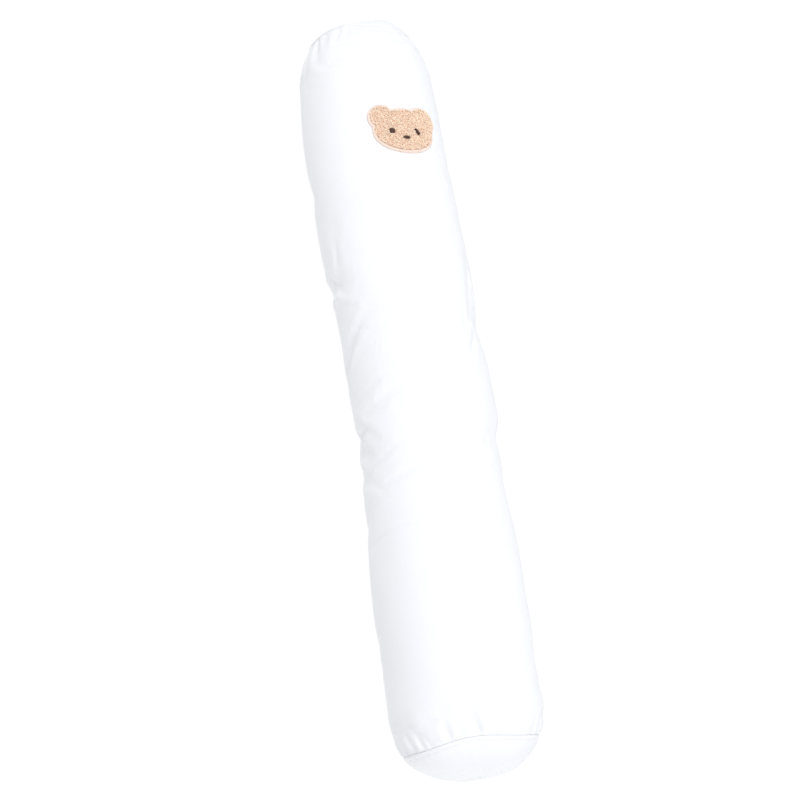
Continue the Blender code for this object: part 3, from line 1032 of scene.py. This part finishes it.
@dataclass
class EndCap:
    """The round panel that closes one end, with its topstitched edge."""

    form: PillowForm
    end: End
    gathering: Gathering
    steps_round: int = 256
    edge_rise: float = 0.0004
    edge_reach: float = 0.0009
    band_width: float = 0.0022
    band_rise: float = 0.0005
    stitch_groove: float = 0.0008
    stitch_groove_width: float = 0.0008
    stitch_pull: float = 0.00016
    stitch_pull_width: float = 0.0014
    nestle: float = 0.00025
    nestle_reach: float = 0.0003
    swell_lean: float = 0.63
    pucker_share: float = 0.35
    pucker_reach: float = 0.014
    pucker_start: float = 0.1
    dent_size: float = 0.020
    dent_depth: float = 0.0005
    dent_start: float = 0.012
    dent_layer: float = 0.2
    stitch_length: float = 0.0030
    stitch_gap: float = 0.0006
    thread_radius: float = 0.00022
    thread_rise: float = 0.0002
    thread_sink: float = 0.0004
    thread_tone: float = 0.7
    steps_radius: float = 0.0665
    steps_in: tuple[float, ...] = (
        0.0, 0.0002, 0.0004, 0.0007, 0.0011, 0.0015, 0.0018, 0.0020, 0.0022, 0.0025, 0.0029, 0.0035, 0.0044,
        0.0062, 0.0074, 0.0088, 0.0104, 0.0122, 0.0142, 0.0164, 0.0188, 0.0214, 0.0242, 0.0272, 0.0304,
        0.0338, 0.0374, 0.0412, 0.0450, 0.0488, 0.0524, 0.0556, 0.0586, 0.0612, 0.0634, 0.0652,
    )

    @property
    def seam_along(self) -> float:
        """Where the seam lies along the tube."""
        return 0.0 if self.end is End.FOOT else self.form.length

    @property
    def seam_radius(self) -> float:
        """The seam's radius."""
        return float(self.form.column(np.array(self.seam_along), "radius"))

    @property
    def outward(self) -> int:
        """The side of the seam that the panel lies on."""
        return -1 if self.end is End.FOOT else 1

    @property
    def stitch_count(self) -> int:
        """How many stitches go round the panel."""
        return round(math.tau * self.seam_radius / (self.stitch_length + self.stitch_gap))

    def dome(self, distance: np.ndarray, around: np.ndarray) -> np.ndarray:
        """How far the panel stands out from its seam's plane.

        Args:
            distance: How far in from the seam.
            around: Angles in radians.

        Returns:
            A height for each place.
        """
        panel = self.form.panels[self.end]
        inward = np.clip(distance / self.seam_radius, 0.0, 1.0)
        height = panel.height * (1 - (1 - inward) ** panel.flatness) ** panel.steepness
        swells = sum(swell.at(around) for swell in panel.dome_swells)
        height += np.sin(math.pi * inward ** self.swell_lean) ** 2 * swells
        edge = self.edge_rise * np.sqrt(np.clip(distance / self.edge_reach, 0.0, 1.0))
        half = self.band_width / 2
        band = self.band_rise * np.exp(-(((distance - half) / half) ** 4))
        off_line = distance - self.band_width
        groove = np.exp(-((off_line / self.stitch_groove_width) ** 2))
        pulled = self.stitch_pull * np.cos(self.stitch_count * around)
        pulled = pulled * np.exp(-((off_line / self.stitch_pull_width) ** 2))
        folds = self.gathering.depth(np.degrees(around), distance, self.form.pucker_rise)
        fading = np.exp(-((distance / self.pucker_reach) ** 2))
        places = np.stack((distance * np.cos(around), distance * np.sin(around),
                           np.full_like(distance, self.dent_layer)), axis=-1).reshape(-1, 3)
        dents = fractal(places, self.dent_size, 3).reshape(distance.shape)
        return (height + edge + band - self.stitch_groove * groove + pulled
                - self.pucker_share * folds * fading * inward ** self.pucker_start
                + self.dent_depth * dents * np.clip(distance / self.dent_start, 0.0, 1.0))

    def points(self, around: np.ndarray, distance: np.ndarray) -> np.ndarray:
        """Points of the panel.

        Args:
            around: Angles in radians.
            distance: How far in from the seam.

        Returns:
            Settled points.
        """
        panel = self.form.panels[self.end]
        inward = np.clip(distance / self.seam_radius, 0.0, 1.0)
        points = np.broadcast_to(self.form.centre(np.array(self.seam_along)), (*around.shape, 3)).copy()
        reach = (1 - inward) * self.seam_radius
        points[..., 0] += reach * np.sin(around) + inward * panel.crown
        points[..., 2] += reach * np.cos(around)
        gap = self.form.gap - self.nestle * np.exp(-distance / self.nestle_reach)
        points[..., 1] += self.outward * (gap + self.dome(distance, around))
        points[..., 1] += (1 - inward) * self.form.seam_offset(self.end, around)
        return self.form.settled(points)

    def build(self, finish: bpy.types.Material) -> None:
        """Builds the panel's cloth.

        Args:
            finish: Its material.
        """
        turns = np.linspace(-math.pi, math.pi, self.steps_round, endpoint=False)
        scale = self.seam_radius / self.steps_radius
        distance, around = np.meshgrid(np.array(self.steps_in) * scale, turns, indexing="ij")
        rings = self.points(around, distance)
        inner = self.form.settled(self.form.centre(np.array(self.seam_along)))
        inner[1] += self.outward * self.form.gap
        middle = self.points(np.array([0.0]), np.array([self.seam_radius]))[0]
        vertices, faces = rings_solid(rings, inner, middle)
        piece = make_piece(f"{self.end.value}_panel_cloth", vertices, faces, finish)
        reach = self.seam_radius - distance
        flat = np.stack((reach * np.sin(around), reach * np.cos(around)), axis=-1).reshape(-1, 2)
        lay_flat(piece, np.vstack((flat, np.zeros((2, 2)))), wraps=False)
        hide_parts(f"end_panel_{self.end.value}")

    def stitch(self, finish: bpy.types.Material) -> None:
        """Sews the line of topstitching inside the seam.

        Args:
            finish: The thread's material.
        """
        count = self.stitch_count
        share = np.linspace(-0.5, 0.5, 6) * self.stitch_length / (self.stitch_length + self.stitch_gap)
        around = (np.arange(count)[:, None] + 0.5 + share[None]) * (math.tau / count) - math.pi
        sink = np.abs(share / share.max()) ** 4 * self.thread_sink
        paths = self.points(around, np.full_like(around, self.band_width))
        paths[..., 1] += self.outward * (self.thread_rise - sink)
        over = np.zeros_like(paths)
        over[..., 1] = self.outward
        sew(f"{self.end.value}_topstitching", paths, over, self.thread_radius, 6, (self.thread_tone,),
            finish)


# The patch


@dataclass(frozen=True)
class Oval:
    """A plain ellipse in the patch's flat axes, x round the tube and y towards the pillow's head; turned, for
    the face alone, by some degrees."""

    x: float
    y: float
    half_width: float
    half_height: float
    turn: float = 0.0

    def leaves(self, angle: np.ndarray, grown: float) -> np.ndarray:
        """How far a ray from the patch's middle runs before it leaves the ellipse.

        Args:
            angle: The rays' angles.
            grown: How much the ellipse is grown first.

        Returns:
            A length for each ray, nothing where it misses.
        """
        wide, tall = self.half_width + grown, self.half_height + grown
        right, up = np.cos(angle) / wide, np.sin(angle) / tall
        off_x, off_y = self.x / wide, self.y / tall
        square = right**2 + up**2
        middle = (right * off_x + up * off_y) / square
        inside = middle**2 - (off_x**2 + off_y**2 - 1) / square
        return np.where(inside > 0, middle + np.sqrt(np.maximum(inside, 0.0)), 0.0)

    def beyond(self, x: np.ndarray, y: np.ndarray, grown: float) -> np.ndarray:
        """Which places lie outside the turned ellipse.

        Args:
            x: Places round the tube.
            y: Places towards the head.
            grown: How much the ellipse is grown first.

        Returns:
            True where a place is outside.
        """
        turn = math.radians(self.turn)
        aside, up = x - self.x, y - self.y
        across = (aside * math.cos(turn) + up * math.sin(turn)) / (self.half_width + grown)
        along = (up * math.cos(turn) - aside * math.sin(turn)) / (self.half_height + grown)
        return across**2 + along**2 > 1


@dataclass
class BearPatch:
    """The bear head sewn on near the head end: a stitched edge, a curly pile and a stitched face."""

    form: PillowForm
    head: Oval = Oval(-0.0006, 0.0000, 0.0317, 0.0221)
    ears: tuple[Oval, ...] = (Oval(-0.0243, 0.0160, 0.0112, 0.0106), Oval(0.0218, 0.0129, 0.0140, 0.0121))
    softness: float = 0.0022
    inner_shares: tuple[float, ...] = (0.25, 0.5, 0.75)
    rim_share: float = 0.985
    backing_lifts: tuple[float, float] = (0.0004, 0.0012)
    backing_tone: float = 0.35
    edge_width: float = 0.0026
    edge_height: float = 0.0020
    edge_foot: float = 0.0003
    edge_squareness: float = 0.6
    edge_core: float = 0.85
    edge_pitch: float = 0.00046
    edge_thread: float = 0.00026
    edge_sweep: tuple[float, float] = (-0.06, 1.04)
    edge_spread: float = 0.56
    edge_slant: float = 0.010
    edge_stray: float = 0.0015
    edge_unevenness: float = 0.00004
    edge_tones: tuple[float, float] = (0.55, 1.0)
    ground_lift: float = 0.0015
    ground_inset: float = 0.0004
    # Painted shade: the ground's tone lies below the yarn's shade so that the gaps between the curls look
    # shaded.
    gap_shade_tone: float = -0.2
    ground_rim: tuple[float, float] = (-0.0002, 0.0001)
    ground_crown: float = 0.0004
    knit_size: float = 0.0035
    knit_relief: float = 0.0003
    knit_layer: float = 0.1
    pile_base: float = 0.0022
    pile_half: tuple[float, float] = (0.040, 0.032)
    loop_pitch: float = 0.0015
    loop_radius: float = 0.0010
    loop_sizes: tuple[float, float] = (0.7, 1.35)
    loop_thread: float = 0.00042
    loop_heading: float = -50.0
    loop_heading_spread: float = 38.0
    loop_lean: float = 0.9
    loop_sweep: tuple[float, float] = (-0.25, 1.25)
    loop_flatness: float = 0.8
    loop_lift: float = 0.35
    loop_slip: float = 0.25
    loop_plies: tuple[float, float] = (0.8, 1.2)
    loop_foot: float = 0.0002
    loop_tones: tuple[float, float] = (0.88, 0.20)
    loop_tone_ends: tuple[float, float] = (-0.2, 1.2)
    spill: float = 0.0006
    spill_side: float = 75.0
    spill_share: float = 0.4
    spill_inset: float = 0.0002
    eyes: tuple[Oval, ...] = (
        Oval(-0.0158, -0.0012, 0.0029, 0.0027),
        Oval(0.0116, -0.0014, 0.0037, 0.0020, -54.0),
    )
    nose: Oval = Oval(-0.0019, -0.0086, 0.0036, 0.0016)
    face_height: float = 0.0036
    face_sunk: float = 0.0006
    face_mound: float = 0.0011
    face_clearance: float = 0.0006
    face_squareness: float = 3.4
    face_thread: float = 0.00030
    face_pitch: float = 1.5
    face_roundness: tuple[float, float] = (0.8, 0.85)
    face_tones: tuple[float, float] = (0.2, 1.0)

    def outline(self, angle: np.ndarray, grown: float, share: float = 1.0) -> tuple[np.ndarray, np.ndarray]:
        """Flat x and y on the bear head's outline, once grown and then scaled by a share."""
        reach = share * self.reach(angle, grown)
        return reach * np.cos(angle), reach * np.sin(angle)

    def reach(self, angle: np.ndarray, grown: float) -> np.ndarray:
        """The bear head's outline, once grown, as a distance from its middle for angles in radians."""
        exits = [oval.leaves(angle, grown) for oval in (self.head, *self.ears)]
        return self.softness * np.log(sum(np.exp(leaves / self.softness) for leaves in exits))

    def on_tube(self, x: np.ndarray, y: np.ndarray, lift: np.ndarray) -> tuple[np.ndarray, np.ndarray]:
        """Lays flat places on the tube.

        Args:
            x: Places round the tube.
            y: Places towards the head.
            lift: How far off the tube's cloth.

        Returns:
            Points, and the directions out of the cloth there.
        """
        radius = float(self.form.column(np.array(PATCH_ALONG), "radius"))
        along, around = PATCH_ALONG + y, x / radius
        step = 0.002
        still = np.zeros_like(along)

        def point(forward: float, aside: float) -> np.ndarray:
            """Points of the smooth tube, moved along it and round it."""
            return self.form.surface(along + forward, around + aside / radius, still)

        lengthwise = point(step, 0.0) - point(-step, 0.0)
        sideways = point(0.0, step) - point(0.0, -step)
        out = np.cross(sideways, lengthwise)
        out /= np.linalg.norm(out, axis=-1, keepdims=True)
        return point(0.0, 0.0) + out * lift[..., None], out

    def layered(self, rows: list[tuple[float, float, float]], steps: int,
                relief: float = 0.0) -> tuple[np.ndarray, list]:
        """Closes outlines of the bear head into a solid on the tube.

        Args:
            rows: From under to over, each outline's share of the full size, its growth and its lift.
            steps: How many points an outline has.
            relief: How uneven the outlines at the top are.

        Returns:
            The vertices and the faces.
        """
        angle = np.linspace(0.0, math.tau, steps, endpoint=False)
        bottom, top = rows[0][2], rows[-1][2]
        rings = []
        for share, grown, lift in rows:
            x, y = self.outline(angle, grown, share)
            lifts = np.full_like(x, lift)
            if relief and lift == top:
                places = np.stack((x, y, np.full_like(x, self.knit_layer)), axis=-1)
                lifts += relief * fractal(places, self.knit_size, 2)
            rings.append(self.on_tube(x, y, lifts)[0])
        middle = np.zeros(1)
        under, over = (self.on_tube(middle, middle, np.full(1, lift))[0][0] for lift in (bottom, top))
        return rings_solid(np.array(rings), under, over)

    def build_backing(self, finish: bpy.types.Material) -> None:
        """Builds the backing with its rolled edge.

        Args:
            finish: Its material.
        """
        bottom, top = self.backing_lifts
        rows = [(share, 0.0, bottom) for share in (*self.inner_shares, 1.0)]
        for step in range(13):
            turn = math.pi * step / 12
            rise = self.edge_height * self.edge_core * math.sin(turn) ** self.edge_squareness
            rows.append((1.0, self.edge_width * (0.5 + 0.5 * math.cos(turn)), self.edge_foot + rise))
        rows += [(share, 0.0, top) for share in (self.rim_share, *self.inner_shares[::-1])]
        vertices, faces = self.layered(rows, 240)
        piece = make_piece("patch_edge_roll", vertices, faces, finish)
        give_tones(piece, (self.backing_tone,))
        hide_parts("patch_backing")

    def stitch_edge(self, finish: bpy.types.Material) -> None:
        """Covers the rolled edge with close satin stitches.

        Args:
            finish: The thread's material.
        """
        dense = np.linspace(0.0, math.tau, 2000)
        x, y = self.outline(dense, self.edge_width / 2)
        walked = np.concatenate(((0.0,), np.cumsum(np.hypot(np.diff(x), np.diff(y)))))
        count = round(walked[-1] / self.edge_pitch)
        angle = np.interp(np.arange(count) / count * walked[-1], walked, dense)
        draw = np.random.default_rng(SEED)
        turn = np.linspace(*self.edge_sweep, 8) * math.pi
        slant = self.edge_slant * (turn / math.pi - 0.5)
        angles = angle[:, None] + slant[None] + draw.normal(0.0, self.edge_stray, (count, 1))
        grown = self.edge_width * (0.5 + self.edge_spread * np.cos(turn))
        paths = np.empty((count, len(turn), 3))
        over = np.empty_like(paths)
        for column, (out, bend) in enumerate(zip(grown, turn)):
            x, y = self.outline(angles[:, column], out)
            sine = math.sin(bend)
            lift = self.edge_foot + self.edge_height * np.sign(sine) * abs(sine) ** self.edge_squareness
            lifts = lift + draw.normal(0.0, self.edge_unevenness, count)
            paths[:, column], over[:, column] = self.on_tube(x, y, lifts)
        sew("patch_edge_stitching", paths, over, self.edge_thread, 5, draw.uniform(*self.edge_tones, count),
            finish)

    def build_ground(self, finish: bpy.types.Material) -> None:
        """Builds the knitted ground that the curls stand on, in a tone below the yarn's shade as painted
        shade between the curls.

        Args:
            finish: Its material.
        """
        base, grown = self.pile_base, -self.ground_inset
        rows = [(share, grown, self.ground_lift) for share in (*self.inner_shares, 1.0)]
        rows += [(share, grown, base + rise) for share, rise in zip((1.0, self.rim_share), self.ground_rim)]
        rows += [(share, grown, base + self.ground_crown) for share in np.linspace(0.95, 0.05, 26)]
        vertices, faces = self.layered(rows, 200, self.knit_relief)
        piece = make_piece("patch_pile_ground", vertices, faces, finish)
        # The ground's dark tone is painted shade in the gaps between the curls.
        give_tones(piece, (self.gap_shade_tone,))
        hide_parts("patch_pile")

    def curl_pile(self, finish: bpy.types.Material) -> None:
        """Covers the ground with small curls of yarn.

        Args:
            finish: The yarn's material.
        """
        draw = np.random.default_rng(SEED + 1)
        columns, rows = (np.arange(-half, half, self.loop_pitch) for half in self.pile_half)
        x, y = (values.ravel() for values in np.meshgrid(columns, rows))
        x = x + draw.uniform(-0.5, 0.5, x.size) * self.loop_pitch
        y = y + draw.uniform(-0.5, 0.5, y.size) * self.loop_pitch
        angle = np.arctan2(y, x)
        spilling = np.clip(self.spill_share + np.cos(angle - math.radians(self.spill_side)), 0.0, 1.0)
        inside = np.hypot(x, y) < self.reach(angle, self.spill * spilling - self.spill_inset)
        for oval in (*self.eyes, self.nose):
            inside &= oval.beyond(x, y, self.face_clearance)
        x, y = x[inside, None], y[inside, None]
        count = len(x)
        size = self.loop_radius * draw.uniform(*self.loop_sizes, count)[:, None]
        heading = np.radians(draw.normal(self.loop_heading, self.loop_heading_spread, count))[:, None]
        lean = draw.uniform(-self.loop_lean, self.loop_lean, count)[:, None]
        turns = np.linspace(*self.loop_sweep, 9) * math.pi
        flat = size * np.cos(turns)
        rise = size * (np.sin(turns) * self.loop_flatness + self.loop_lift)
        leaning = rise * np.sin(lean) + self.loop_slip * size * (turns / math.pi - 0.5)
        places_x = x + flat * np.cos(heading) - leaning * np.sin(heading)
        places_y = y + flat * np.sin(heading) + leaning * np.cos(heading)
        lift = self.pile_base + self.loop_foot + rise * np.cos(lean)
        paths, over = self.on_tube(places_x, places_y, lift)
        across = np.cross(over, np.gradient(paths, axis=1)[:, 4:5])
        radius = self.loop_thread * draw.uniform(*self.loop_plies, (count, 1))
        tones = np.clip(draw.normal(*self.loop_tones, count), *self.loop_tone_ends)
        sew("patch_pile_curls", paths, across, radius, 5, tones, finish)

    def stitch_feature(self, name: str, oval: Oval, finish: bpy.types.Material, across: bool) -> None:
        """Stitches one of the face's features as a low mound of satin stitches.

        Args:
            name: The CAD node that it stands for.
            oval: Its shape.
            finish: The thread's material.
            across: Whether the stitches run across the patch.
        """
        pitch = self.face_thread * self.face_pitch
        wide, tall = (oval.half_height, oval.half_width) if across else (oval.half_width, oval.half_height)
        places = np.arange(-wide + pitch / 2, wide, pitch)
        square = self.face_squareness
        chord = tall * np.maximum(1 - np.abs(places / wide) ** square, 0.05) ** (1 / square)
        share = np.linspace(-1.0, 1.0, 7)
        run = chord[:, None] * share[None]
        aside = np.broadcast_to(places[:, None], run.shape)
        across_fall, length_fall = self.face_roundness
        fall = (aside / wide) ** 2 * across_fall
        mound = np.sqrt(np.maximum(1 - fall - share[None] ** 2 * length_fall, 0.0))
        lift = self.face_height - self.face_sunk + self.face_mound * mound
        flat_x, flat_y = (run, aside) if across else (aside, run)
        turn = math.radians(oval.turn)
        x = flat_x * math.cos(turn) - flat_y * math.sin(turn)
        y = flat_x * math.sin(turn) + flat_y * math.cos(turn)
        paths, over = self.on_tube(oval.x + x, oval.y + y, lift)
        tones = np.random.default_rng(SEED + 2).uniform(*self.face_tones, len(places))
        piece = sew(f"{name}_stitching", paths, over, self.face_thread, 6, tones, finish)
        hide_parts(name)

    def build(self) -> None:
        """Builds the patch's pieces."""
        edging, pile, brown = EDGING_THREAD.material(), TAN_PILE.material(), BROWN_THREAD.material()
        self.build_backing(edging)
        self.stitch_edge(edging)
        self.build_ground(pile)
        self.curl_pile(pile)
        for name, oval in zip(("patch_eye_left", "patch_eye_right"), self.eyes):
            self.stitch_feature(name, oval, brown, False)
        self.stitch_feature("patch_nose", self.nose, brown, True)


# Camera and studio


@dataclass(frozen=True)
class PhotoCamera:
    """The camera at the photograph's angle to the pillow's face."""

    centre: tuple[float, float, float] = (0.0, 0.0, 0.0710)
    distance: float = 2.4
    focal_pixels: float = 2345.0
    frame_pixels: int = 800
    sensor: float = 36.0
    tilt: float = 17.0
    turn: float = 28.0
    lean: float = 8.8
    seen_at: tuple[float, float] = (415.2, 384.5)

    def axes(self) -> tuple[Vector, Vector, Vector]:
        """The film's right and up, and the direction back to the camera.

        Returns:
            Three unit vectors.
        """
        tilt, turn, lean = (math.radians(value) for value in (self.tilt, self.turn, self.lean))
        back = Vector((-math.sin(turn) * math.cos(tilt), -math.sin(tilt), math.cos(turn) * math.cos(tilt)))
        back.normalize()
        length = Vector((0.0, 1.0, 0.0))
        upright = (length - back * length.dot(back)).normalized()
        up = Matrix.Rotation(-lean, 3, back) @ upright
        return up.cross(back), up, back

    def build(self) -> None:
        """Makes the camera and gives it to the scene."""
        right, up, back = self.axes()
        pixel = self.distance / self.focal_pixels
        off_x, off_y = (seen - self.frame_pixels / 2 for seen in self.seen_at)
        aim = Vector(self.centre) - right * off_x * pixel + up * off_y * pixel
        data = bpy.data.cameras.new("camera")
        data.sensor_width = self.sensor
        data.lens = self.focal_pixels * self.sensor / self.frame_pixels
        data.clip_end = 20.0
        camera = bpy.data.objects.new("camera", data)
        camera.matrix_world = Matrix((right, up, back)).transposed().to_4x4()
        camera.matrix_world.translation = aim + back * self.distance
        bpy.context.scene.collection.objects.link(camera)
        bpy.context.scene.camera = camera


@dataclass(frozen=True)
class SoftBox:
    """One large soft light."""

    name: str
    place: tuple[float, float, float]
    width: float
    height: float
    power: float
    colour: tuple[float, float, float] = (1.0, 1.0, 1.0)
    aim: tuple[float, float, float] = (0.0, 0.0, 0.07)

    def build(self) -> None:
        """Makes the light, aimed at the pillow's middle."""
        data = bpy.data.lights.new(self.name, "AREA")
        data.shape = "RECTANGLE"
        data.size, data.size_y = self.width, self.height
        data.energy = self.power
        data.color = self.colour
        lamp = bpy.data.objects.new(self.name, data)
        lamp.location = self.place
        away = Vector(self.place) - Vector(self.aim)
        lamp.rotation_euler = away.to_track_quat("Z", "Y").to_euler()
        bpy.context.scene.collection.objects.link(lamp)


@dataclass(frozen=True)
class Studio:
    """A pale floor that glows softly, a key overhead, fills at foot, head and side, and an even surround."""

    floor_half: float = 6.0
    floor_drop: float = 0.0002
    floor_colour: tuple[float, float, float] = (0.10, 0.10, 0.10)
    floor_glow: float = 0.93
    surround: tuple[float, float, float] = (0.945, 0.965, 1.01)
    surround_strength: float = 0.57
    lights: tuple[SoftBox, ...] = (
        SoftBox("key", (-0.46, 0.55, 2.00), 0.8, 0.8, 16.9, (1.0, 0.998, 0.99)),
        SoftBox("foot_fill", (0.10, -1.60, 1.50), 1.0, 1.0, 13.5),
        SoftBox("head_fill", (-0.15, 1.75, 1.45), 1.0, 1.0, 4.1),
        SoftBox("side_fill", (2.00, 0.00, 0.60), 1.0, 1.0, 1.8),
    )

    def build(self) -> None:
        """Makes the floor, the lights and the surround."""
        half, low = self.floor_half, -self.floor_drop
        mesh = bpy.data.meshes.new("floor")
        corners = [(-half, -half, low), (half, -half, low), (half, half, low), (-half, half, low)]
        mesh.from_pydata(corners, [], [(0, 1, 2, 3)])
        nodes = Nodes("pale_floor")
        nodes.surface(Base_Color=(*self.floor_colour, 1.0), Roughness=0.9, Specular_IOR_Level=0.1,
                      Emission_Color=(1.0, 1.0, 1.0, 1.0), Emission_Strength=self.floor_glow)
        mesh.materials.append(nodes.material)
        floor = bpy.data.objects.new("floor", mesh)
        bpy.context.scene.collection.objects.link(floor)
        for light in self.lights:
            light.build()
        world = bpy.data.worlds.new("surround")
        world.use_nodes = True
        background = world.node_tree.nodes["Background"]
        background.inputs["Color"].default_value = (*self.surround, 1.0)
        background.inputs["Strength"].default_value = self.surround_strength
        bpy.context.scene.world = world
        bpy.context.scene.view_settings.view_transform = "Standard"


def write_sizes() -> None:
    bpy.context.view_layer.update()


def main() -> None:
    """Builds the camera, the studio and the pillow's pieces."""
    logging.basicConfig(level=logging.INFO, format="%(name)s: %(message)s")
    PhotoCamera().build()
    Studio().build()
    form = PillowForm()
    gatherings = {End.FOOT: FOOT_GATHERING, End.HEAD: HEAD_GATHERING}
    cotton, thread = WHITE_COTTON.material(), WHITE_THREAD.material()
    FilledTube(form, gatherings).build(cotton)
    for end in End:
        cap = EndCap(form, end, gatherings[end])
        cap.build(cotton)
        cap.stitch(thread)
    BearPatch(form).build()
    write_sizes()


if __name__ == "__main__":
    main()
